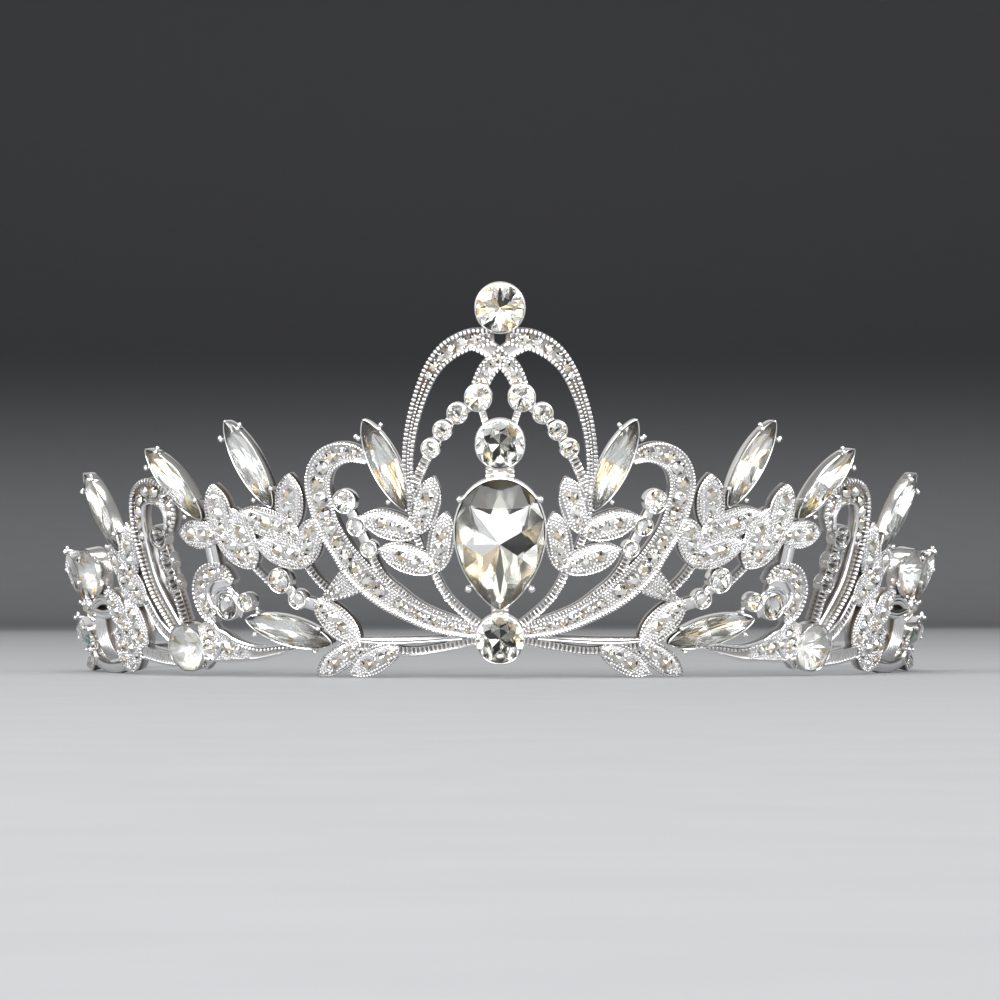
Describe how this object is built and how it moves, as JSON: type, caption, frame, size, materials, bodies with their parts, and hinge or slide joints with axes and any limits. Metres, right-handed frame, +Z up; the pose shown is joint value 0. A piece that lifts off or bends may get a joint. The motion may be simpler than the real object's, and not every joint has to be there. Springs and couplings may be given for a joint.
{
  "type": "bridal crown",
  "caption": "Pierced silver-coloured bridal crown of leaves and scrolls set with clear pear, marquise and round crystals, open at the back, with spring wires ending in hair pin loops.",
  "frame": {"origin": "middle of the head opening, on the plane that the crown's lowest leaves and the wire loops stand on; the band's face lies 65 mm in front of it", "axes": "+X to the crown's right as seen from the front, +Z up, the front centre faces -Y"},
  "size_m": [0.1298, 0.1002, 0.0529],
  "materials": {
    "plated_casting": "bright silver-coloured plate on a zinc alloy casting, slightly warm in the recesses",
    "plated_wire": "plated spring wire, darker than the casting",
    "cut_crystal": "clear faceted glass crystal, foiled behind",
    "small_crystal": "small clear flat-backed crystal, foiled behind"
  },
  "bodies": {
    "root": {"frame": "plated_casting", "wire_left": "plated_wire", "wire_right": "plated_wire", "pear_stone": "cut_crystal", "finial_stone": "cut_crystal", "crest_stone": "cut_crystal", "base_stone": "cut_crystal", "marquise_left_1": "cut_crystal", "marquise_left_2": "cut_crystal", "marquise_left_3": "cut_crystal", "marquise_left_4": "cut_crystal", "marquise_left_5": "cut_crystal", "marquise_left_6": "cut_crystal", "marquise_left_7": "cut_crystal", "marquise_right_1": "cut_crystal", "marquise_right_2": "cut_crystal", "marquise_right_3": "cut_crystal", "marquise_right_4": "cut_crystal", "marquise_right_5": "cut_crystal", "marquise_right_6": "cut_crystal", "marquise_right_7": "cut_crystal", "round_left_1": "cut_crystal", "round_left_2": "cut_crystal", "round_left_3": "cut_crystal", "round_left_4": "cut_crystal", "round_left_5": "cut_crystal", "round_left_6": "cut_crystal", "round_left_7": "cut_crystal", "round_right_1": "cut_crystal", "round_right_2": "cut_crystal", "round_right_3": "cut_crystal", "round_right_4": "cut_crystal", "round_right_5": "cut_crystal", "round_right_6": "cut_crystal", "round_right_7": "cut_crystal", "pave_centre": "small_crystal", "pave_left": "small_crystal", "pave_right": "small_crystal", "small_chatons_left": "small_crystal", "small_chatons_right": "small_crystal"}
  },
  "joints": []
}
